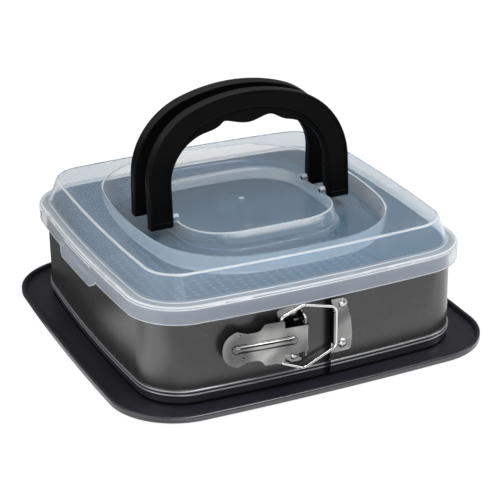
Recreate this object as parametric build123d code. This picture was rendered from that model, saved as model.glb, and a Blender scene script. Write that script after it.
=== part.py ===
from build123d import *
import math
import os

# Square springform cake pan on its serving base, under a carrying lid with two fold-down handles.
# Millimetres. X runs along the latch side to the right, Y from the latch side to the back, Z up.
# The origin is the middle of the base's underside.

# Base: a flat tray with a rolled-over rim and a raised platform that fills the ring
base_margin = 21.3
base_corner = 50.0
base_side_radius = 2200.0
base_sheet = 0.8
base_rim_height = 5.0
base_rim_width = 2.8
base_rim_slope = 0.5
base_lip_height = 1.0
base_rim_bend = 0.5
platform_height = 9.5
platform_edge_bend = 1.6
platform_gap = 0.3

# Ring: one strip of sheet closed round the pan, with a double bead at its foot and a rolled rim
ring_half = 121.4
ring_corner = 33.4
ring_side_radius = 1300.0
ring_sheet = 0.8
ring_rim_top = 73.3
roll_radius = 2.2
bead_low = 6.9
bead_depth = 1.5
bead_valley = 0.3
bead_step = 1.3
bead_bend = 1.0
bead_valley_bend = 0.6

# Ring ends: they meet in a narrow seam, and a tongue from the left end laps behind the right end
seam_x = 9.0
seam_width = 0.6
tongue_left = -7.0
tongue_joggle = 5.0
tongue_lap = 15.0
tongue_gap = 0.1
tongue_bottom = 13.0
tongue_top_margin = 3.8

# Lid: one thin moulding. Distances outwards are counted from the ring's wall.
lid_wall = 1.4
lid_rim_clearance = 0.3
lid_skirt_out = 5.7
lid_skirt_depth = 12.5
lid_skirt_step = 0.5
lid_ledge_in = 0.5
lid_ledge_bend = 1.7
lid_ledge_inner_bend = 1.2
lid_dome_foot_in = 1.3
lid_dome_draft = 7.0
lid_dome_foot_bend = 1.0
lid_dome_bend = 2.4
lid_dome_height = 17.5

# Snap tabs: a longer, flared stretch of the skirt on the left and on the right
tab_half_length = 33.0
tab_drop = 5.0
tab_flare = 2.2
tab_root_above = 5.0
tab_corner = 16.0
tab_side_slope = 6.0
tab_bar_half_length = 27.0
tab_bar_height = 4.6
tab_bar_out = 0.9
tab_bar_below_step = 0.7

# Moat in the lid's top that takes the folded handles, and the island in its middle
moat_margin_x = 30.4
moat_margin_y = 17.9
moat_corner = 62.0
moat_side_radius = 300.0
moat_depth = 14.5
moat_draft = 2.0
moat_bend = 4.5
moat_edge_round = 1.2
island_below_top = 2.5
moat_width_x = 32.0
moat_width_y = 46.5
island_corner = 33.0
island_side_radius = 450.0
island_draft_x = 0.6
island_draft_y = 5.0
island_corner_draft = 3.0
island_bend = 4.5
island_top_bend = 1.5

# Hinge bosses on the island's left and right sides, one for each handle pin
boss_stand_out = 0.7
boss_radius = 3.4
boss_depth = 3.7

# Handles: arched bands that stand side by side and lean a little towards each other
pivot_y = 14.5
pivot_above_island = 0.5
pin_radius = 1.8
pin_clearance = 0.05
pin_end_gap = 0.3
handle_lean = 3.3
handle_fold_room = 4.0
handle_shoulder_x = 21.3
handle_crown = 120.0
handle_depth = 9.0
handle_front_offset = 5.5
handle_foot_below_pivot = 5.3
handle_leg_width = 16.4
handle_top_width = 13.8
handle_inner_shoulder_x = 15.4
handle_inner_crown = 93.3
handle_edge_round = 1.2
panel_margin = 2.0
panel_foot_margin = 4.5
panel_recess = 0.6

# Finger grip: the set-back inner flange of each handle, with two finger hollows under the top
grip_setback = 1.5
grip_leg_gap = 0.6
grip_shoulder_x = 25.0
grip_flange_width = 1.1
grip_bump_x = 31.5
grip_arc_below_top = 25.4
hollow_x = 18.0
hollow_below_top = 20.1
grip_middle_below_top = 23.5
grip_edge_round = 1.3
grip_bite = 2.5

# Latch: heights along the ring are counted from the latch's middle
latch_below_rim = 34.5
latch_sheet = 1.0
bracket_left = -31.3
bracket_half_height = 20.8
bracket_corner = 4.0
flange_half_height = 18.9
flange_corner = 2.5
bar_x = -13.4
bar_out = 7.9
bar_radius = 1.1
window_half_height = 11.3
bridge_width = 6.5
bridge_half_height = 13.2
bridge_out = 3.9

# Lever: a waisted plate curled round the bracket's bar, tilted so that its thumb end nears the ring
lever_sheet = 1.1
running_clearance = 0.06
lever_tilt = 5.4
lever_length = 59.1
neck_half = 9.7
shoulder_half = 15.2
shoulder_start = 15.3
shoulder_end = 29.4
waist_half = 10.4
waist_start = 32.8
waist_end = 41.8
thumb_half = 13.0
thumb_widest = 48.8
shoulder_bend = 1.5
waist_bend = 6.0
lever_rib_start = 6.4
lever_rib_end = 52.5
lever_rib_width = 6.4
lever_rib_height = 1.4
lever_rib_round = 1.3
tip_fullness_x = 0.72
tip_fullness_z = 0.66
lever_curl = 290.0
pip_radius = 1.3
pip_height = 0.5
upper_pip_x = -46.8
upper_pip_z = 9.4
lower_pip_x = -44.8
lower_pip_z = -7.4

# Bail: a closed wire loop that the lever's two lugs hold, hooked over the catch
wire_radius = 1.1
bail_arm = 16.9
lug_length = 3.2
lug_sheet = 0.9
lug_rise = 0.1
bail_left_half = 17.0
bail_upper_half = 22.3
bail_lower_half = 24.9
bail_right_half = 14.9
bail_middle_x = -13.3
bail_tight_bend = 2.5
bail_bend = 5.0

# Catch: a plate on the ring's right end with an upstanding lip for the bail
catch_top = 19.2
catch_bottom = -20.9
catch_right = 25.4
catch_bulge_height = -3.0
catch_top_width = 10.0
catch_bottom_width = 15.4
catch_corner = 2.5
lip_sheet = 0.9
lip_half_height = 12.5
lip_out = 4.6
lip_corner = 1.5
bail_lip_gap = 0.3
bail_wall_gap = 1.7

# Rivets: round heads on the plates, shanks through plate and ring, flush inside the ring
rivet_clearance = 0.02
bracket_rivet_x = -18.5
bracket_rivet_rise = 16.5
bracket_rivet_shank = 1.4
bracket_rivet_head = 2.8
bracket_rivet_dome = 1.4
catch_rivet_x = 18.5
catch_rivet_rise = 15.0
catch_rivet_shank = 1.6
catch_rivet_head = 3.5
catch_rivet_dome = 2.0

# Plain allowances: how far cuts run past, and how deep the swept sections of solid bodies reach in
overrun = 5.0
core_inset = 20.0

# Sizes and places that follow from the sizes above
base_half = ring_half + base_margin
latch_z = ring_rim_top - latch_below_rim
bar_y = -ring_half - bar_out
lid_ledge_top = ring_rim_top + lid_rim_clearance + lid_wall
lid_skirt_bottom = lid_ledge_top - lid_skirt_depth
lid_top = lid_ledge_top + lid_dome_height
moat_half_x = ring_half - moat_margin_x
moat_half_y = ring_half - moat_margin_y
moat_floor = lid_top - moat_depth
island_top = lid_top - island_below_top
island_half_x = moat_half_x - moat_width_x
island_half_y = moat_half_y - moat_width_y
boss_face_x = island_half_x + boss_stand_out
pivot_z = island_top + pivot_above_island
handle_foot = pivot_z - handle_foot_below_pivot
# The island sets how wide the handles are, and the moat how tall, because they fold down into it
handle_half_width = boss_face_x + grip_leg_gap + grip_flange_width + handle_leg_width
handle_top = pivot_z + moat_half_y - handle_fold_room - pivot_y
handle_inner_half = handle_half_width - handle_leg_width
handle_shoulder = handle_half_width - handle_shoulder_x
handle_inner_shoulder = handle_inner_half - handle_inner_shoulder_x
grip_half_width = boss_face_x + grip_leg_gap
grip_shoulder = grip_half_width - grip_shoulder_x
grip_spring_z = handle_top - grip_arc_below_top - grip_shoulder
grip_bump_z = grip_spring_z + math.sqrt(grip_shoulder**2 - (grip_bump_x - grip_shoulder_x) ** 2)
hollow_z = handle_top - hollow_below_top
grip_middle_z = handle_top - grip_middle_below_top


class Outline:
    """A closed plan outline of eight tangent arcs: four bowed sides joined by four round corners."""

    def __init__(self, half_x, half_y, corner, side):
        self.half_x = half_x
        self.half_y = half_y
        self.corner = corner
        self.side = side
        # Middles of the right side's arc on X and of the back side's arc on Y
        self.right = half_x - side
        self.back = half_y - side
        # The corner's middle lies side - corner away from both
        ratio = self.right / self.back
        shift = (self.back**2 - self.right**2) / (2 * self.back)
        b = ratio * shift - self.right
        c = self.right**2 + shift**2 - (side - corner) ** 2
        self.corner_x = (math.sqrt(b**2 - (1 + ratio**2) * c) - b) / (1 + ratio**2)
        self.corner_y = ratio * self.corner_x + shift
        self.right_angle = math.degrees(math.atan2(self.corner_y, self.corner_x - self.right))
        self.back_angle = 90 - math.degrees(math.atan2(self.corner_x, self.corner_y - self.back))

    def grown(self, distance):
        """The same outline moved outwards everywhere by the distance."""
        half_x = self.half_x + distance
        half_y = self.half_y + distance
        return Outline(half_x, half_y, self.corner + distance, self.side + distance)

    def arcs(self):
        """Middle, radius and angles of the arcs of the right side, corner, back side and next corner."""
        return [
            ((self.right, 0), self.side, -self.right_angle, self.right_angle),
            ((self.corner_x, self.corner_y), self.corner, self.right_angle, self.back_angle),
            ((0, self.back), self.side, self.back_angle, 180 - self.back_angle),
            ((-self.corner_x, self.corner_y), self.corner, 180 - self.back_angle, 180 - self.right_angle),
        ]

    def face(self):
        """The flat shape inside the outline."""
        half = Curve()
        for middle, radius, start, end in self.arcs():
            half += CenterArc(middle, radius, start, end - start)
        return make_face(half.edges() + (Rot(0, 0, 180) * half).edges())

    def around(self, section):
        """The section, in distance outwards and height, carried once round the outline."""
        half = [turned(section, *arc) for arc in self.arcs()]
        return Part() + half + [Rot(0, 0, 180) * piece for piece in half]

    def filled(self, section, bottom, top):
        """A solid body with the section as its outer side, filled in to the middle."""
        core = extrude(Pos(0, 0, bottom) * self.grown(-core_inset).face(), top - bottom)
        return self.around(section) + core


def turned(section, middle, radius, start, end):
    """The section carried round a middle point in plan, from one angle to another."""
    reach = Vector(1, 0, 0).rotate(Axis.Z, start)
    plane = Plane(origin=(middle[0], middle[1], 0), x_dir=reach, z_dir=reach.rotate(Axis.Z, -90))
    return revolve(plane * Pos(radius, 0) * section, Axis((middle[0], middle[1], 0), (0, 0, 1)), end - start)


def rounded_section(*corners):
    """A flat shape through corners given as distance, height and rounding."""
    shape = Sketch() + make_face(Polyline(*[corner[:2] for corner in corners], close=True))
    for x, y, rounding in corners:
        if rounding:
            nearest = shape.vertices().sort_by_distance((x, y, 0))[0]
            shape = fillet(nearest, rounding)
    return shape


def bent_sheet(points, bends, sheet):
    """Section of a bent sheet: one face runs through the points, and its metal is on their left."""
    points = [Vector(*point) for point in points]
    runs = [(end - start).normalized() for start, end in zip(points, points[1:])]
    left = [Vector(-run.Y, run.X) * sheet for run in runs]
    back = [points[0] + left[0]]
    back_bends = []
    for index, bend in enumerate(bends):
        before = left[index]
        after = left[index + 1]
        back.append(points[index + 1] + (before + after) / (1 + before.dot(after) / sheet**2))
        turn = runs[index].cross(runs[index + 1]).Z
        back_bends.append(bend - math.copysign(sheet, turn))
    back.append(points[-1] + left[-1])
    front_line = FilletPolyline(*points, radius=bends)
    back_line = FilletPolyline(*back, radius=back_bends)
    ends = [Line(points[0], back[0]), Line(points[-1], back[-1])]
    return make_face(front_line.edges() + back_line.edges() + [end.edge() for end in ends])


def upright(shape, y=0.0):
    """Stands a flat X-Y shape up in the X-Z plane at a place along Y, facing the latch side."""
    return Pos(0, y, 0) * Rot(90, 0, 0) * shape


outwards = (0, -1, 0)
ring_outline = Outline(ring_half, ring_half, ring_corner, ring_side_radius)
base_outline = Outline(base_half, base_half, base_corner, base_side_radius)


def front_wall_y(x, outwards=0.0):
    """Y of the ring's bowed latch side at a place along X, or of a surface further out from it."""
    return ring_side_radius - ring_half - math.sqrt((ring_side_radius + outwards) ** 2 - x**2)


def on_front_wall(shape, inner, outer):
    """Part of an X-Z shape's projection that lies between two distances outwards from the latch side."""
    start = 270 - ring_outline.right_angle
    band = Pos((inner + outer) / 2, ring_rim_top / 2) * Rectangle(outer - inner, ring_rim_top + 2 * overrun)
    shell = turned(band, (0, ring_side_radius - ring_half), ring_side_radius, start, 540 - start)
    return shell & extrude(upright(shape, -ring_half - overrun), 4 * overrun, both=True)


def make_base_tray():
    outer = base_outline
    rim_foot = -base_rim_width - base_rim_slope
    rim_points = [
        (0, base_lip_height),
        (0, base_rim_height),
        (-base_rim_width, base_rim_height),
        (rim_foot, base_sheet),
        (-core_inset, base_sheet),
    ]
    rim_bends = [base_rim_bend + base_sheet, base_rim_bend + base_sheet, base_rim_bend]
    rim = outer.around(bent_sheet(rim_points, rim_bends, base_sheet))
    floor = extrude(outer.grown(1 - core_inset).face(), base_sheet)
    edge = ring_outline.grown(-ring_sheet - platform_gap)
    hole = extrude(Pos(0, 0, -overrun) * edge.grown(-base_sheet / 2).face(), 2 * overrun)
    platform_points = [(0, 0), (0, platform_height), (-core_inset, platform_height)]
    wall = edge.around(bent_sheet(platform_points, [platform_edge_bend], base_sheet))
    plate = extrude(Pos(0, 0, platform_height - base_sheet) * edge.grown(1 - core_inset).face(), base_sheet)
    return rim + floor - hole + wall + plate


def make_side_ring():
    roll_middle = ring_rim_top - roll_radius
    heights = [bead_low + bead_step * step for step in range(5)]
    points = [
        (0, base_sheet),
        (0, heights[0]),
        (bead_depth, heights[1]),
        (bead_valley, heights[2]),
        (bead_depth, heights[3]),
        (0, heights[4]),
        (0, roll_middle),
    ]
    bends = [bead_bend, bead_bend, bead_valley_bend, bead_bend, bead_bend]
    wall = bent_sheet(points, bends, ring_sheet)
    roll_x = roll_radius - ring_sheet
    slit = Pos(0, roll_middle - roll_radius) * Rectangle(roll_radius, 2 * roll_radius)
    roll = Pos(roll_x, roll_middle) * (Circle(roll_radius) - Circle(roll_radius - ring_sheet)) - slit
    ring = ring_outline.around(Sketch() + wall + roll)
    seam = Pos(seam_x + seam_width / 2, -ring_half, 0) * Box(seam_width, 4 * overrun, 4 * ring_rim_top)
    tongue_bottom_z = tongue_bottom
    tongue_top_z = ring_rim_top - roll_radius - tongue_top_margin
    tongue_right = seam_x + tongue_lap
    far = -ring_sheet - tongue_gap
    lap = strip_shape(tongue_left, tongue_right, tongue_bottom_z, tongue_top_z)
    joggle = strip_shape(tongue_left, tongue_left + tongue_joggle, tongue_bottom_z, tongue_top_z)
    tongue = on_front_wall(lap, far - ring_sheet, far)
    tongue += on_front_wall(joggle, far - ring_sheet, -ring_sheet / 2)
    for x in (bracket_rivet_x, catch_rivet_x):
        rise = bracket_rivet_rise if x < 0 else catch_rivet_rise
        shank = bracket_rivet_shank if x < 0 else catch_rivet_shank
        for side in (-1, 1):
            hole = upright(Pos(x, latch_z + side * rise) * Circle(shank + rivet_clearance))
            wall_middle = front_wall_y(x, -ring_sheet / 2)
            ring -= extrude(Pos(0, wall_middle, 0) * hole, ring_sheet / 2 + tongue_gap / 2, both=True)
    return ring - seam + tongue


def strip_shape(left, right, bottom, top):
    """A plain rectangle in X and height."""
    return Pos((left + right) / 2, (bottom + top) / 2) * Rectangle(right - left, top - bottom)


def make_latch_bracket():
    right = bar_x - latch_sheet / 2
    plate_shape = strip_shape(bracket_left, right + latch_sheet, -bracket_half_height, bracket_half_height)
    left_corners = plate_shape.vertices().sort_by(Axis.X)[:2]
    plate_shape = Pos(0, latch_z) * fillet(left_corners, bracket_corner)
    for side in (-1, 1):
        hole_z = latch_z + side * bracket_rivet_rise
        plate_shape -= Pos(bracket_rivet_x, hole_z) * Circle(bracket_rivet_shank + rivet_clearance)
    plate = on_front_wall(plate_shape, 0, latch_sheet)
    foot_y = front_wall_y(bar_x, latch_sheet / 2)
    tip_y = bar_y - bar_radius
    side_shape = rounded_section(
        (foot_y, latch_z - flange_half_height, 0),
        (tip_y, latch_z - window_half_height - flange_corner, flange_corner),
        (tip_y, latch_z + window_half_height + flange_corner, flange_corner),
        (foot_y, latch_z + flange_half_height, 0),
    )
    window_inner = bar_y + 4 * bar_radius
    window = Pos(window_inner - overrun, latch_z) * Rectangle(2 * overrun, 2 * window_half_height)
    flange = Pos(right, 0, 0) * extrude(Plane.YZ * (side_shape - window), latch_sheet, dir=(1, 0, 0))
    bar_height = 2 * (window_half_height + flange_corner)
    bar = Pos(bar_x, bar_y, latch_z) * Cylinder(bar_radius, bar_height)
    cover_y = front_wall_y(bar_x, latch_sheet) - bridge_out
    cover_left = right - bridge_width
    cover = Pos((cover_left + right) / 2, cover_y + latch_sheet / 2, latch_z)
    cover *= Box(bridge_width, latch_sheet, 2 * bridge_half_height)
    post = Pos(cover_left + latch_sheet / 2, (cover_y + foot_y) / 2, latch_z)
    post *= Box(latch_sheet, foot_y - cover_y, 2 * bridge_half_height)
    return plate + flange + bar + cover + post


def make_rivet(x, rise, shank, head, dome):
    """A rivet through plate and ring at a place on the latch side, flush inside and domed outside."""
    inner_y = front_wall_y(x, -ring_sheet)
    # The plate under the head is bowed, so the head seats on its most outward line
    seat_y = front_wall_y(abs(x) - head, latch_sheet)
    length = inner_y - seat_y
    dome_radius = (head**2 + dome**2) / (2 * dome)
    ball = Pos(0, 0, length + dome - dome_radius) * Sphere(dome_radius)
    cap = ball & Pos(0, 0, length + dome) * Box(3 * head, 3 * head, 2 * dome)
    body = Pos(0, 0, length / 2) * Cylinder(shank, length) + cap
    return Pos(x, inner_y, latch_z + rise) * Rot(90, 0, 0) * body


barrel_bore = bar_radius + running_clearance
barrel_outer = barrel_bore + lever_sheet
wire_bore = wire_radius + running_clearance
# The wire runs just clear of the lever's inner face. Seen from the bar, before the lever is tilted:
leg_out = lever_sheet + wire_bore + lug_rise - barrel_outer


def from_bar(x, y):
    """Plan position of a point given from the bar in the untilted lever's directions."""
    return Vector(x, y, 0).rotate(Axis.Z, -lever_tilt) + Vector(bar_x, bar_y, 0)


def lever_plan():
    """The lever seen from above: a flat plate whose end curls round the bar."""
    curl_end = math.radians(lever_curl - 90)
    curl_way = Vector(math.cos(curl_end), math.sin(curl_end))
    face_line = Line((-lever_length - overrun, -barrel_outer), (0, -barrel_outer))
    back_line = Line((-lever_length - overrun, -barrel_bore), (0, -barrel_bore))
    outside = CenterArc((0, 0), barrel_outer, -90, lever_curl)
    inside = CenterArc((0, 0), barrel_bore, -90, lever_curl)
    curl_edge = Line(curl_way * barrel_bore, curl_way * barrel_outer)
    plate_edge = Line(face_line @ 0, back_line @ 0)
    return make_face(Curve() + [face_line, back_line, outside, inside, curl_edge, plate_edge])


def make_latch_lever():
    upper = [
        (overrun, neck_half),
        (-shoulder_start, neck_half),
        (-shoulder_start, shoulder_half),
        (-shoulder_end, shoulder_half),
        (-waist_start, waist_half),
        (-waist_end, waist_half),
        (-thumb_widest, thumb_half),
    ]
    bends = [shoulder_bend / 2, shoulder_bend, shoulder_bend, waist_bend, waist_bend]
    top_line = FilletPolyline(*upper, radius=bends)
    tip_way = (-thumb_widest - tip_fullness_x * (lever_length - thumb_widest), tip_fullness_z * thumb_half)
    tip_top = ThreePointArc((-thumb_widest, thumb_half), tip_way, (-lever_length, 0))
    root = Line((overrun, neck_half), (overrun, -neck_half))
    lower = [mirror(top_line, Plane.XZ), mirror(tip_top, Plane.XZ)]
    face = make_face(Curve() + [top_line, tip_top, root] + lower)
    blank = extrude(lever_plan(), 2 * shoulder_half, both=True)
    lever = blank & extrude(upright(face, overrun), 2 * overrun, dir=outwards)
    for side in (-1, 1):
        lug_z = side * (shoulder_half - lug_length / 2)
        lug = Cylinder(wire_bore + lug_sheet, lug_length) - Cylinder(wire_bore, 2 * lug_length)
        lever += Pos(-bail_arm, leg_out, lug_z) * lug
    rib_middle = -(lever_rib_start + lever_rib_end) / 2
    rib_shape = Pos(rib_middle, 0) * SlotOverall(lever_rib_end - lever_rib_start, lever_rib_width)
    rib = extrude(upright(rib_shape, -barrel_outer), lever_rib_height, dir=outwards)
    lever += fillet(rib.faces().sort_by(Axis.Y)[0].edges(), lever_rib_round)
    pip_ball = (pip_radius**2 + pip_height**2) / (2 * pip_height)
    for x, z in ((upper_pip_x, upper_pip_z), (lower_pip_x, lower_pip_z)):
        ball = Pos(x, pip_ball - barrel_outer - pip_height, z) * Sphere(pip_ball)
        lever += ball & Pos(x, -barrel_outer, z) * Box(3 * pip_radius, 2 * pip_height, 3 * pip_radius)
    return Pos(bar_x, bar_y, latch_z) * Rot(0, 0, -lever_tilt) * lever


def make_bail_wire():
    left = from_bar(-bail_arm, leg_out)
    right_x = seam_x + seam_width + lip_sheet + bail_lip_gap + wire_radius
    right_y = front_wall_y(right_x, latch_sheet) - bail_wall_gap - wire_radius
    along = (Vector(right_x, right_y, 0) - left).normalized()
    span = (right_x - left.X) / along.X
    middle = (bail_middle_x - left.X) / along.X
    corners = [
        (0, bail_left_half, bail_tight_bend),
        (middle, bail_upper_half, bail_bend),
        (span, bail_right_half, bail_bend),
        (span, -bail_right_half, bail_bend),
        (middle, -bail_lower_half, bail_bend),
        (0, -bail_left_half, bail_tight_bend),
    ]
    loop = rounded_section(*corners).face().outer_wire()
    plane = Plane(origin=(left.X, left.Y, latch_z), x_dir=along, z_dir=along.cross(Vector(0, 0, 1)))
    path = plane * loop
    wire_section = Plane(origin=path @ 0, z_dir=path % 0) * Circle(wire_radius)
    return sweep(wire_section, path=path)


def make_catch_plate():
    left = seam_x + seam_width
    top_right = (left + catch_top_width, catch_top)
    bottom_right = (left + catch_bottom_width, catch_bottom)
    edge = Polyline(bottom_right, (left, catch_bottom), (left, catch_top), top_right)
    side = ThreePointArc(top_right, (catch_right, catch_bulge_height), bottom_right)
    shape = Sketch() + make_face(Curve() + [edge, side])
    shape = fillet(shape.vertices().sort_by(Axis.X)[2:], catch_corner)
    for side_sign in (-1, 1):
        hole_z = side_sign * catch_rivet_rise
        shape -= Pos(catch_rivet_x, hole_z) * Circle(catch_rivet_shank + rivet_clearance)
    plate = on_front_wall(Pos(0, latch_z) * shape, 0, latch_sheet)
    foot_y = front_wall_y(left, latch_sheet / 2)
    tip_y = foot_y - lip_out
    lip_shape = rounded_section(
        (foot_y, latch_z - lip_half_height, 0),
        (tip_y, latch_z - lip_half_height, lip_corner),
        (tip_y, latch_z + lip_half_height, lip_corner),
        (foot_y, latch_z + lip_half_height, 0),
    )
    lip = Pos(left, 0, 0) * extrude(Plane.YZ * lip_shape, lip_sheet, dir=(1, 0, 0))
    return plate + lip


def foot_round(outline, floor, radius):
    """A fillet that spreads from an upright wall on the outline to a floor outside it."""
    corner = Pos(radius / 2, floor + radius / 2) * Rectangle(radius, radius)
    return outline.around(corner - Pos(radius, floor + radius) * Circle(radius))


def moat_block(grow):
    """The moat's bowl as a solid, or with a growth the bowl with its plastic round it."""
    floor = moat_floor - grow
    top = lid_top + overrun
    edge_round = 0 if grow else moat_edge_round
    section = rounded_section(
        (-core_inset, floor, 0),
        (grow - moat_draft, floor, moat_bend + grow),
        (grow, lid_top, edge_round),
        (grow + overrun, lid_top, 0),
        (grow + overrun, top, 0),
        (-core_inset, top, 0),
    )
    return Outline(moat_half_x, moat_half_y, moat_corner, moat_side_radius).filled(section, floor, top)


def island_block(inset):
    """The island as a solid, or with an inset the hollow under it."""
    top = island_top - inset
    floor = moat_floor - inset
    bottom = moat_floor - overrun
    foot_x = island_half_x + island_draft_x
    foot_y = island_half_y + island_draft_y
    foot = Outline(foot_x, foot_y, island_corner + island_corner_draft, island_side_radius).grown(-inset)
    head = Outline(island_half_x, island_half_y, island_corner, island_side_radius).grown(-inset)
    bend = island_bend + inset
    foot_z = floor + bend
    stem = extrude(Pos(0, 0, bottom) * foot.face(), foot_z - bottom)
    slope = loft([Pos(0, 0, foot_z) * foot.face(), Pos(0, 0, top) * head.face()], ruled=True)
    if not inset:
        slope = fillet(slope.faces().sort_by(Axis.Z)[-1].edges(), island_top_bend)
    return stem + slope + foot_round(foot, floor, bend)


def snap_tab():
    """The right snap tab: a flared stretch that hangs below the skirt."""
    root = lid_skirt_bottom + tab_root_above
    hem = lid_skirt_bottom - tab_drop
    section = rounded_section(
        (lid_skirt_out, root, 0),
        (lid_skirt_out + tab_flare, hem, lid_wall / 3),
        (lid_skirt_out + tab_flare - lid_wall, hem, lid_wall / 3),
        (lid_skirt_out - lid_wall, root, 0),
    )
    reach = ring_outline.right_angle
    band = turned(section, (ring_half - ring_side_radius, 0), ring_side_radius, -reach, reach)
    window = rounded_section(
        (-tab_half_length - tab_side_slope, root, 0),
        (-tab_half_length, hem, tab_corner),
        (tab_half_length, hem, tab_corner),
        (tab_half_length + tab_side_slope, root, 0),
    )
    side_view = extrude(Plane.YZ * window, 2 * ring_half, dir=(1, 0, 0))
    return band & side_view


def tab_bar():
    """The long round-ended bar that stands out of the skirt over the right snap tab."""
    step_z = lid_ledge_top - lid_ledge_bend - lid_skirt_step
    middle_z = step_z - tab_bar_below_step - tab_bar_height / 2
    slot = Pos(0, middle_z) * SlotOverall(2 * tab_bar_half_length, tab_bar_height)
    pin = extrude(Plane.YZ * slot, 2 * ring_half, dir=(1, 0, 0))
    # Its face is concentric with the skirt, and its back is buried in the skirt's wall
    band = Pos(lid_skirt_out + (tab_bar_out - lid_wall / 2) / 2, middle_z)
    band *= Rectangle(tab_bar_out + lid_wall / 2, 2 * tab_bar_height)
    reach = ring_outline.right_angle
    shell = turned(band, (ring_half - ring_side_radius, 0), ring_side_radius, -reach, reach)
    bar = shell & pin
    return fillet(bar.faces().sort_by(Axis.X)[-1].edges(), tab_bar_out * 2 / 3)


def make_lid_shell():
    ledge_out = lid_skirt_out - lid_ledge_in
    ledge_start = lid_ledge_top - lid_ledge_bend - lid_skirt_step
    outer_section = rounded_section(
        (-core_inset, lid_skirt_bottom, 0),
        (lid_skirt_out, lid_skirt_bottom, 0),
        (lid_skirt_out, ledge_start, 0),
        (ledge_out, ledge_start + lid_skirt_step, 0),
        (ledge_out, lid_ledge_top, lid_ledge_bend),
        (-lid_dome_foot_in, lid_ledge_top, lid_dome_foot_bend),
        (-lid_dome_foot_in - lid_dome_draft, lid_top, lid_dome_bend),
        (-core_inset, lid_top, 0),
    )
    outside = ring_outline.filled(outer_section, lid_skirt_bottom, lid_top)
    hollow_bottom = lid_skirt_bottom - overrun
    hollow_top = lid_top - lid_wall
    inner_section = rounded_section(
        (-core_inset, hollow_bottom, 0),
        (lid_skirt_out - lid_wall, hollow_bottom, 0),
        (lid_skirt_out - lid_wall, lid_ledge_top - lid_wall, lid_ledge_inner_bend),
        (-lid_dome_foot_in - lid_wall, lid_ledge_top - lid_wall, lid_dome_foot_bend + lid_wall),
        (-lid_dome_foot_in - lid_dome_draft - lid_wall, hollow_top, lid_dome_bend - lid_wall),
        (-core_inset, hollow_top, 0),
    )
    hollow = ring_outline.filled(inner_section, hollow_bottom, hollow_top)
    bowl = moat_block(lid_wall) - island_block(lid_wall)
    shell = outside - (hollow - bowl) - (moat_block(0) - island_block(0))
    side_parts = [snap_tab(), tab_bar()]
    shell += side_parts + [mirror(part, Plane.YZ) for part in side_parts]
    for side_x in (-1, 1):
        for side_y in (-1, 1):
            middle = Pos(side_x * (boss_face_x - boss_depth / 2), side_y * pivot_y, pivot_z) * Rot(0, 90, 0)
            shell += middle * Cylinder(boss_radius, boss_depth)
            shell -= middle * Cylinder(pin_radius + pin_clearance, boss_depth + 2 * lid_wall)
    return shell


def arch_line(half_width, spring_z, shoulder, crown):
    """Arch outline: two straight legs, a shoulder arc on each side and a flatter crown arc."""
    reach = half_width - shoulder
    crown_z = spring_z - math.sqrt((crown - shoulder) ** 2 - reach**2)
    lean = math.degrees(math.atan2(spring_z - crown_z, reach))
    return Curve() + [
        Line((half_width, handle_foot), (half_width, spring_z)),
        CenterArc((reach, spring_z), shoulder, 0, lean),
        CenterArc((0, crown_z), crown, lean, 180 - 2 * lean),
        CenterArc((-reach, spring_z), shoulder, 180 - lean, lean),
        Line((-half_width, spring_z), (-half_width, handle_foot)),
    ]


def crown_to_spring(half_width, shoulder, crown):
    """Height from an arch's spring line up to its top."""
    return crown - math.sqrt((crown - shoulder) ** 2 - (half_width - shoulder) ** 2)


def arch_band(margin):
    """The handle's front shape, or with a margin the panel inside its border."""
    outer_spring = handle_top - crown_to_spring(handle_half_width, handle_shoulder, handle_crown)
    right = handle_half_width - margin
    outer = arch_line(right, outer_spring, handle_shoulder - margin, handle_crown - margin)
    inner_top = handle_top - handle_top_width
    inner_rise = crown_to_spring(handle_inner_half, handle_inner_shoulder, handle_inner_crown)
    inner_spring = inner_top - inner_rise
    inner_shoulder = handle_inner_shoulder + margin
    left = handle_inner_half + margin
    inner = arch_line(left, inner_spring, inner_shoulder, handle_inner_crown + margin)
    feet = [Line((side * left, handle_foot), (side * right, handle_foot)) for side in (-1, 1)]
    return make_face(Curve() + [outer, inner] + feet)


def grip_face():
    """The set-back flange: from inside the band to the wavy line that the fingers feel."""
    half = grip_half_width
    rise = math.degrees(math.acos((grip_bump_x - grip_shoulder_x) / grip_shoulder))
    right = Curve() + [
        Line((half, handle_foot), (half, grip_spring_z)),
        CenterArc((grip_shoulder_x, grip_spring_z), grip_shoulder, 0, rise),
    ]
    flow = Vector(-1, 0, 0).rotate(Axis.Z, rise - 90)
    wave = Spline(
        (grip_bump_x, grip_bump_z),
        (hollow_x, hollow_z),
        (0, grip_middle_z),
        (-hollow_x, hollow_z),
        (-grip_bump_x, grip_bump_z),
        tangents=[flow, (flow.X, -flow.Y, 0)],
    )
    band_half = handle_inner_half + grip_bite
    band_shoulder = handle_inner_shoulder + grip_bite
    band_crown = handle_inner_crown + grip_bite
    band_top = handle_top - handle_top_width + grip_bite
    band_spring = band_top - crown_to_spring(band_half, band_shoulder, band_crown)
    outer = arch_line(band_half, band_spring, band_shoulder, band_crown)
    feet = [Line((side * half, handle_foot), (side * band_half, handle_foot)) for side in (-1, 1)]
    return make_face(Curve() + [right, wave, mirror(right, Plane.YZ), outer] + feet)


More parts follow.
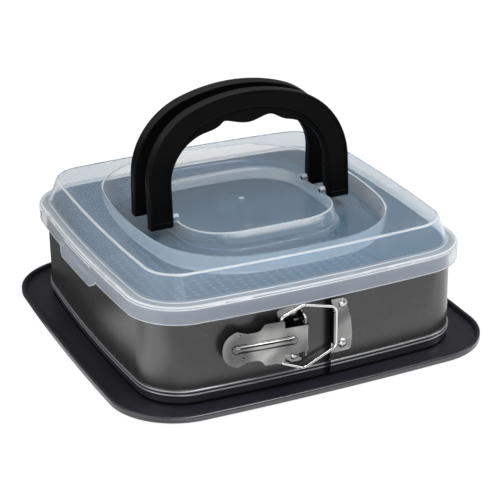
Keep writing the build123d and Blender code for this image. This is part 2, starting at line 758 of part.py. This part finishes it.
def make_front_handle():
    face_y = -pivot_y - handle_front_offset
    band = extrude(upright(arch_band(0), face_y), handle_depth, dir=(0, 1, 0))
    rims = band.faces().sort_by(Axis.Y)
    band = fillet(rims[0].edges() + rims[-1].edges(), handle_edge_round)
    panel_floor = handle_foot + panel_foot_margin
    panel = extrude(upright(arch_band(panel_margin), face_y), panel_recess, dir=(0, 1, 0))
    below = Box(4 * handle_half_width, handle_depth, 2 * handle_top)
    panel -= Pos(0, face_y, panel_floor - handle_top) * below
    grip_depth = handle_depth - grip_setback
    grip = extrude(upright(grip_face(), face_y + grip_setback), grip_depth, dir=(0, 1, 0))
    rims = grip.faces().sort_by(Axis.Y)
    grip = fillet(rims[0].edges() + rims[-1].edges(), grip_edge_round)
    handle = band - panel + grip
    for side in (-1, 1):
        inner_end = boss_face_x - boss_depth + pin_end_gap
        outer_end = boss_face_x + grip_leg_gap + grip_bite
        pin = Pos(side * (inner_end + outer_end) / 2, -pivot_y, pivot_z) * Rot(0, 90, 0)
        handle += pin * Cylinder(pin_radius, outer_end - inner_end)
    return handle.rotate(Axis((0, -pivot_y, pivot_z), (1, 0, 0)), -handle_lean)


front_handle = make_front_handle()
nodes = {
    "base_tray": make_base_tray(),
    "side_ring": make_side_ring(),
    "latch_bracket": make_latch_bracket(),
    "latch_lever": make_latch_lever(),
    "bail_wire": make_bail_wire(),
    "catch_plate": make_catch_plate(),
    "lid_shell": make_lid_shell(),
    "front_handle": front_handle,
    "rear_handle": mirror(front_handle, Plane.XZ),
}
for level, sign in (("upper", 1), ("lower", -1)):
    rise = sign * bracket_rivet_rise
    rivet = make_rivet(bracket_rivet_x, rise, bracket_rivet_shank, bracket_rivet_head, bracket_rivet_dome)
    nodes[f"bracket_rivet_{level}"] = rivet
    rise = sign * catch_rivet_rise
    rivet = make_rivet(catch_rivet_x, rise, catch_rivet_shank, catch_rivet_head, catch_rivet_dome)
    nodes[f"catch_rivet_{level}"] = rivet

os.makedirs("parts", exist_ok=True)
for name, shape in nodes.items():
    export_step(shape, f"parts/{name}.step")
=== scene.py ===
import bpy
from mathutils import Matrix, Vector

# A square springform cake pan on its serving base, under a milky carrying lid with two black
# fold-down handles. Metres. X runs along the latch side, Y from the latch side to the back, Z up.
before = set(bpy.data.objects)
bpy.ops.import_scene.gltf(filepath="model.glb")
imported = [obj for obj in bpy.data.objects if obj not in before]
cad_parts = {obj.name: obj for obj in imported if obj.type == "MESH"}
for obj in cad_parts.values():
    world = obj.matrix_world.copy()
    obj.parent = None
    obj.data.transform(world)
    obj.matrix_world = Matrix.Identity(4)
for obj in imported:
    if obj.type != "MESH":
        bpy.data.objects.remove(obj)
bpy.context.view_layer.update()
bpy.ops.object.select_all(action="DESELECT")


# Camera
# A long lens at the left of the latch side, looking down on the lid and tilted a little. Its
# place comes from the outlines of base, ring, lid and handles.
lens_place = Vector((-0.4415, -0.9732, 0.5153))
lens_right = Vector((0.90581, -0.42346, -0.01370))
lens_up = Vector((0.18087, 0.35725, 0.91633))
lens_back = lens_right.cross(lens_up)
lens = bpy.data.cameras.new("camera")
lens.sensor_width = 36.0
lens.lens = 114.22
camera = bpy.data.objects.new("camera", lens)
camera.matrix_world = Matrix((lens_right, lens_up, lens_back)).transposed().to_4x4()
camera.matrix_world.translation = lens_place
bpy.context.scene.collection.objects.link(camera)
bpy.context.scene.camera = camera
bpy.context.scene.view_settings.view_transform = "Standard"


# Room
# A plain studio. It is white where it is seen past the pan or through the lid, it lights the
# pan mostly from the back, and the metal mirrors it as dim walls under a bright ceiling.
class Wire:
    """A shader socket. Sums written with it add Math nodes, and node() adds any other node."""

    def __init__(self, tree, socket=None):
        self.tree = tree
        self.socket = socket

    def node(self, kind, settings, inputs, output=0):
        made = self.tree.nodes.new("ShaderNode" + kind)
        for name, value in settings.items():
            setattr(made, name, value)
        for name, value in inputs.items():
            socket = made.inputs[name]
            if isinstance(value, Wire):
                self.tree.links.new(value.socket, socket)
            elif socket.type == "RGBA":
                socket.default_value = (*value, 1.0)
            else:
                socket.default_value = value
        return Wire(self.tree, made.outputs[output])

    def by(self, operation, other=0.0):
        """This wire and another, or this one alone, through a Math node."""
        return self.node("Math", {"operation": operation}, {0: self, 1: other})

    def __add__(self, other):
        return self.by("ADD", other)

    def __sub__(self, other):
        return self.by("SUBTRACT", other)

    def __rsub__(self, other):
        return self.node("Math", {"operation": "SUBTRACT"}, {0: other, 1: self})

    def __mul__(self, other):
        return self.by("MULTIPLY", other)

    __radd__ = __add__
    __rmul__ = __mul__

    def rises(self, start, end):
        """0 below the start, 1 above the end, with a soft passage between them."""
        limits = {"Value": self, "From Min": start, "From Max": end}
        return self.node("MapRange", {"interpolation_type": "SMOOTHSTEP"}, limits)

    def spans(self, start, full, fade, end):
        """1 from full to fade, 0 before the start and past the end, with soft passages."""
        return self.rises(start, full) * (1.0 - self.rises(fade, end))

    def axis(self, letter):
        """The X, Y or Z of a place or a direction."""
        return self.node("SeparateXYZ", {}, {"Vector": self}, letter)

    def cover(self, kind):
        """Ends the tree of a World or a Material with this shader."""
        out = self.tree.nodes.new("ShaderNodeOutput" + kind)
        self.tree.links.new(self.socket, out.inputs["Surface"])


def kinds_of_ray(start):
    """1 where the camera looks, straight or through the lid, and 1 where the metal mirrors."""
    seen = start.node("LightPath", {}, {}, "Is Camera Ray")
    through = start.node("LightPath", {}, {}, "Is Transmission Ray")
    mirrored = start.node("LightPath", {}, {}, "Is Glossy Ray")
    return seen.by("MAXIMUM", through), mirrored


room = bpy.data.worlds.new("room")
bpy.context.scene.world = room
room.use_nodes = True
room.node_tree.nodes.clear()
start = Wire(room.node_tree)
looked_at, mirrored = kinds_of_ray(start)
way = start.node("TexCoord", {}, {}, "Generated")
in_the_metal = 0.05 + way.axis("Z").rises(0.50, 0.90)
on_the_pan = 0.28 + 1.4 * way.axis("Y").rises(0.0, 0.7)
level = on_the_pan * (1.0 - mirrored) + in_the_metal * mirrored
strength = level * (1.0 - looked_at) + looked_at
start.node("Background", {}, {"Color": (1.0, 1.0, 1.0), "Strength": strength}).cover("World")


def add_lamp(name, place, aim, width, watts):
    """A square soft lamp that faces a point on the pan."""
    light = bpy.data.lights.new(name, "AREA")
    light.size = width
    light.energy = watts
    lamp = bpy.data.objects.new(name, light)
    lamp.location = place
    lamp.rotation_euler = (Vector(aim) - Vector(place)).to_track_quat("-Z", "Y").to_euler()
    bpy.context.scene.collection.objects.link(lamp)


pan_middle = (0.0, 0.0, 0.05)
lid_level = (0.0, 0.0, 0.06)
latch_corner = (-0.1, -0.1, 0.04)
add_lamp("overhead_lamp", (0.25, -0.45, 1.2), aim=pan_middle, width=0.6, watts=12.0)
add_lamp("front_lamp", (-0.55, -1.35, 0.25), aim=pan_middle, width=0.6, watts=6.0)
add_lamp("left_lamp", (-1.5, -0.4, 0.8), aim=latch_corner, width=1.4, watts=10.0)
add_lamp("right_lamp", (1.2, -0.5, 0.7), aim=lid_level, width=0.6, watts=4.0)


# Floor
# The white sheet of paper that the pan stands on. It keeps the pan's soft shadow, and it is
# lifted towards white only where the camera sees it, straight or through the lid.
def new_finish(name):
    """A material with an empty node tree, and the wire of its Object coordinates."""
    finish = bpy.data.materials.new(name)
    finish.use_nodes = True
    finish.node_tree.nodes.clear()
    return finish, Wire(finish.node_tree).node("TexCoord", {}, {}, "Object")


bpy.ops.mesh.primitive_plane_add(size=6.0, location=(0.0, 0.0, 0.0))
floor = bpy.context.object
floor.name = "floor"
paper, place = new_finish("white_paper")
looked_at, mirrored = kinds_of_ray(place)
along = place.axis("X")
across = place.axis("Y")
# Three patches on it are painted reflections that only the metal mirrors: a dark patch on the
# left behind the pan, which darkens the ring's left side, and a glowing patch at its left corner
# and a fainter glowing strip before the tray's rim, which paint highlights on the ring's corner
# and the rim's front
painted_dark_reflection = across.rises(0.01, 0.06) * (1.0 - along.rises(-0.02, 0.06))
painted_corner_glint = across.spans(-0.21, -0.15, -0.09, -0.01) * (1.0 - along.rises(-0.16, -0.14))
strip = across.spans(-0.18, -0.165, -0.144, -0.140)
painted_glint = painted_corner_glint.by("MAXIMUM", 0.6 * strip) * mirrored
# The paper throws back less light onto the pan than it shows to the camera and to the metal
thrown, shown, painted_dark_shown = 0.55, 0.95, 0.13
bright = looked_at.by("MAXIMUM", mirrored * (1.0 - painted_dark_reflection))
shade = (thrown - (thrown - painted_dark_shown) * painted_dark_reflection * mirrored) + (shown - thrown) * bright
sheet = place.node("BsdfDiffuse", {}, {"Color": shade})
# Painted glints: where the metal mirrors the glowing patches, the paper glows brighter, though it
# is no lamp
lift = place.node("Emission", {}, {"Color": 1.0 + 2.4 * painted_glint, "Strength": 1.05})
lifted = 0.8 * looked_at.by("MAXIMUM", painted_glint)
place.node("MixShader", {}, {0: lifted, 1: sheet, 2: lift}).cover("Material")
floor.data.materials.append(paper)
bpy.ops.object.select_all(action="DESELECT")


# Base tray
# The flat serving base: pressed sheet steel with a rolled-over rim and a raised platform under
# the cake, coated all over in a dark non-stick finish. The platform has a grid of small dimples.
def spots(place, scale, detail):
    """Random soft spots from 0 to 1, about this many to the metre."""
    return place.node("TexNoise", {}, {"Vector": place, "Scale": scale, "Detail": detail}, "Fac")


def mixed(share, first, second):
    """The first colour where the share is 0, and the second where it is 1."""
    return share.node("Mix", {"data_type": "RGBA"}, {0: share, 6: first, 7: second}, 2)


def raised(relief, strength, depth):
    """The normal of a surface with this relief, its depth in metres."""
    return relief.node("Bump", {}, {"Strength": strength, "Distance": depth, "Height": relief})


def rows(line, pitch, width):
    """1 on rows of this width, which lie a pitch apart, and 0 between them."""
    swing = line.by("PINGPONG", 0.5 * pitch)
    edge = 0.5 * (pitch - width)
    return swing.rises(edge - 0.0003, edge + 0.0003)


def dress(finish, *pieces):
    """Gives pieces of the frame their finish."""
    for piece in pieces:
        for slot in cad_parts[piece].material_slots:
            slot.material = finish


coat, place = new_finish("dark_nonstick_coating")
cloud = spots(place, 22.0, 3.0)
grain = spots(place, 1400.0, 2.0)
platform = place.axis("Z").rises(0.0088, 0.0092)
long_rows = rows(place.axis("X"), pitch=0.0080, width=0.0030)
cross_rows = rows(place.axis("Y"), pitch=0.0060, width=0.0026)
dimples_and_painted_glints = long_rows * cross_rows * platform
colour = mixed(cloud.rises(0.3, 0.7), (0.0135, 0.0123, 0.0178), (0.0180, 0.0165, 0.0232))
coating = {
    # The dimples are painted paler than the coating, as a painted highlight for the light they
    # catch
    "Base Color": mixed(0.7 * dimples_and_painted_glints, colour, (0.34, 0.34, 0.36)),
    "Roughness": 0.24 + 0.06 * cloud + 0.04 * grain,
    "Specular IOR Level": 0.5,
    "Coat Weight": 0.4,
    "Coat Roughness": 0.2,
    "Normal": raised(0.12 * grain - dimples_and_painted_glints, strength=0.6, depth=0.0004),
}
place.node("BsdfPrincipled", {}, coating).cover("Material")
dress(coat, "base_tray")


# Side ring
# The springform wall, which stands round the tray's platform: one strip of sheet steel with a
# double bead at its foot and a rolled rim, in a satin dark grey coating over fine rolling lines.
satin, place = new_finish("dark_grey_coating")
cloud = spots(place, 18.0, 3.0)
grain = spots(place, 1600.0, 2.0)
stretched = place.node("Mapping", {}, {"Vector": place, "Scale": (6.0, 6.0, 900.0)})
rolling = spots(stretched, 1.0, 2.0)
height = place.axis("Z")
# The coating is a little bluer on the foot, and the upper side of both beads is painted paler as
# a highlight
foot = 1.0 - height.rises(0.0070, 0.0080)
lower_bead_highlight = height.spans(0.0081, 0.0084, 0.0089, 0.0092)
upper_bead_highlight = height.spans(0.0107, 0.0110, 0.0115, 0.0118)
colour = mixed(cloud.rises(0.3, 0.7), (0.0310, 0.0298, 0.0302), (0.0350, 0.0337, 0.0342))
colour = mixed(foot, colour, (0.034, 0.031, 0.041))
coating = {
    "Base Color": mixed(0.7 * (lower_bead_highlight + upper_bead_highlight), colour, (0.36, 0.37, 0.40)),
    "Metallic": 0.35,
    "Roughness": 0.24 + 0.06 * cloud,
    "Specular IOR Level": 0.6,
    "Normal": raised(grain + 0.5 * rolling, strength=0.25, depth=0.0001),
}
coated = place.node("BsdfPrincipled", {}, coating)
# The left end of the strip curves in to the seam on the latch side, and both that seam and the
# foot's lower edge lie in their own shadow
latch_side = 1.0 - place.axis("Y").rises(-0.119, -0.115)
seam = place.axis("X").spans(0.0020, 0.0068, 0.0095, 0.0098) * latch_side
shadow = seam.by("MAXIMUM", 1.0 - height.rises(0.0022, 0.0034))
dark = place.node("BsdfDiffuse", {}, {"Color": (0.003, 0.003, 0.003)})
place.node("MixShader", {}, {0: 0.9 * shadow, 1: coated, 2: dark}).cover("Material")
dress(satin, "side_ring")


# Latch
# The closure of the ring, riveted to it: a bracket, a waisted lever and a catch stamped from
# bright plated sheet steel, and a bent spring wire. Stamping leaves the sheet a little uneven.
plate, place = new_finish("bright_plated_steel")
waves_and_painted_reflections = spots(place, 50.0, 1.0)
scuffs = spots(place, 700.0, 4.0)
# The lever's rib is rounded, from its middle line to edges 3 mm above and below
rib_middle, rib_crown, rib_fall = 0.0388, 0.5, 55000.0
from_middle = place.axis("Z") - rib_middle
rounded = (rib_crown - rib_fall * from_middle * from_middle).by("MAXIMUM", 0.0)
rib = rounded * place.axis("X").spans(-0.066, -0.060, -0.026, -0.020)
steel = {
    # The plate is painted darker and lighter in soft patches along the same waves, as painted
    # reflections of the uneven sheet
    "Base Color": mixed(waves_and_painted_reflections.rises(0.30, 0.70), (0.10, 0.10, 0.10), (0.28, 0.28, 0.275)),
    "Metallic": 1.0,
    "Roughness": 0.17 + 0.08 * scuffs,
    "Normal": raised(waves_and_painted_reflections + 0.003 * scuffs + rib, strength=1.0, depth=0.003),
}
place.node("BsdfPrincipled", {}, steel).cover("Material")
dress(plate, "latch_bracket", "latch_lever", "catch_plate")

wire, place = new_finish("bright_spring_wire")
drawn = spots(place, 500.0, 3.0)
steel = {
    "Base Color": (0.55, 0.55, 0.55),
    "Metallic": 1.0,
    "Roughness": 0.14 + 0.14 * drawn,
    "Normal": raised(drawn, strength=0.2, depth=0.0001),
}
place.node("BsdfPrincipled", {}, steel).cover("Material")
dress(wire, "bail_wire")


# Rivets
# Domed rivets of plain steel, two through the bracket and two through the catch. The tool that
# sets them leaves their heads slightly dull and marked.
rivet, place = new_finish("plain_rivet_steel")
marks = spots(place, 900.0, 3.0)
steel = {
    "Base Color": (0.45, 0.45, 0.45),
    "Metallic": 1.0,
    "Roughness": 0.24 + 0.2 * marks,
    "Normal": raised(marks, strength=0.4, depth=0.0002),
}
place.node("BsdfPrincipled", {}, steel).cover("Material")
dress(rivet, "bracket_rivet_upper", "bracket_rivet_lower")
dress(rivet, "catch_rivet_upper", "catch_rivet_lower")


# Lid
# One thin moulding in milky translucent plastic, which snaps over the ring's rim: skirt, ledge,
# dome, moat and island. It is glossy and faintly blue over the dark pan, and whiter on its bends
# and along its hem, partly for thicker plastic and partly as painted highlight lines.
milk, place = new_finish("milky_translucent_plastic")
along = place.axis("X")
across = place.axis("Y")
height = place.axis("Z")
upward = place.node("TexCoord", {}, {}, "Normal").axis("Z").by("ABSOLUTE")
haze = spots(place, 14.0, 2.0)
skin = spots(place, 150.0, 2.0)
# The bends are where the surface tips from flat towards upright, fainter inside the moat
bends = upward.spans(0.46, 0.58, 0.95, 0.990)
in_moat = height.spans(0.0762, 0.0770, 0.0850, 0.0875)
bends = bends * (1.0 - 0.85 * in_moat)
# The hem runs level round the skirt and dips under each snap tab, with a 16 mm arc at each end
hem_level, arc_middle, arc_radius, tab_half = 0.0625, 0.0735, 0.016, 0.024
beside = (across.by("ABSOLUTE") - tab_half).by("MAXIMUM", 0.0)
drop = (arc_radius * arc_radius - beside * beside).by("SQRT")
hem_height = (arc_middle - drop).by("MINIMUM", hem_level)
hem = 1.0 - (height - hem_height).rises(0.0003, 0.0010)
# A round mark in the middle of the island is where the plastic was let in. It fades from 1.4 to
# 2.6 mm off the middle, given here by their squares
squared = along * along + across * across
gate = 1.0 - squared.rises(0.0000020, 0.0000070)
gate_mark = 1.7 * gate * height.rises(0.0885, 0.0895)
# Bends and hem are drawn whiter and cloudier, partly for thicker plastic and partly as painted
# highlight lines; the gate mark is the plastic's own
edges = bends.by("MAXIMUM", hem).by("MAXIMUM", gate_mark)
# The upright walls in the front half are made cloudier, which lightens them over the dark pan
walls = (1.0 - upward.rises(0.35, 0.80)) * (1.0 - across.rises(0.0, 0.06))
ledge = height.spans(0.0722, 0.0732, 0.0752, 0.0765)
skirt = 1.0 - height.rises(0.0722, 0.0734)
cloudiness = 0.19 + 0.04 * haze + 0.06 * walls + 0.05 * skirt + 0.15 * ledge + 0.40 * edges
# The plastic's tint is painted after what shows through it: bluer and darker over the dark pan,
# paler on the skirt over the ring wall
over_pan, over_wall, white = (0.36, 0.66, 1.0), (0.64, 0.78, 1.0), (0.86, 0.92, 0.98)
colour = mixed(skirt, over_pan, over_wall)
colour = mixed(edges.by("MAXIMUM", 0.7 * ledge), colour, white)
clear = {
    "Base Color": (1.0, 0.975, 0.94),
    "Roughness": 0.03 + 0.02 * skin,
    "IOR": 1.20,
    "Transmission Weight": 1.0,
}
cloudy = {
    "Base Color": colour,
    "Roughness": 0.20 + 0.05 * skin,
}
clear = place.node("BsdfPrincipled", {}, clear)
cloudy = place.node("BsdfPrincipled", {}, cloudy)
lit_from_behind = place.node("BsdfTranslucent", {}, {"Color": (0.96, 0.95, 0.93)})
cloudy = place.node("MixShader", {}, {0: 0.6, 1: cloudy, 2: lit_from_behind})
place.node("MixShader", {}, {0: cloudiness, 1: clear, 2: cloudy}).cover("Material")
dress(milk, "lid_shell")


# Handles
# Two arched handles moulded in black plastic with a fine spark-eroded grain, on pins that turn
# in the lid's bosses. They are satin, and their upper sides are painted a little paler as a
# highlight.
black, place = new_finish("black_grained_plastic")
cloud = spots(place, 35.0, 2.0)
grain = spots(place, 1500.0, 2.0)
# Painted highlight: the sides that face upward are painted paler
painted_top_highlight = place.node("TexCoord", {}, {}, "Normal").axis("Z").rises(0.2, 0.7)
colour = mixed(cloud.rises(0.3, 0.7), (0.0018, 0.0018, 0.0019), (0.0028, 0.0028, 0.0029))
plastic = {
    "Base Color": mixed(painted_top_highlight, colour, (0.016, 0.016, 0.0165)),
    "Roughness": 0.36 + 0.08 * cloud,
    "Specular IOR Level": 0.04,
    "Normal": raised(grain, strength=0.5, depth=0.00015),
}
place.node("BsdfPrincipled", {}, plastic).cover("Material")
dress(black, "front_handle", "rear_handle")
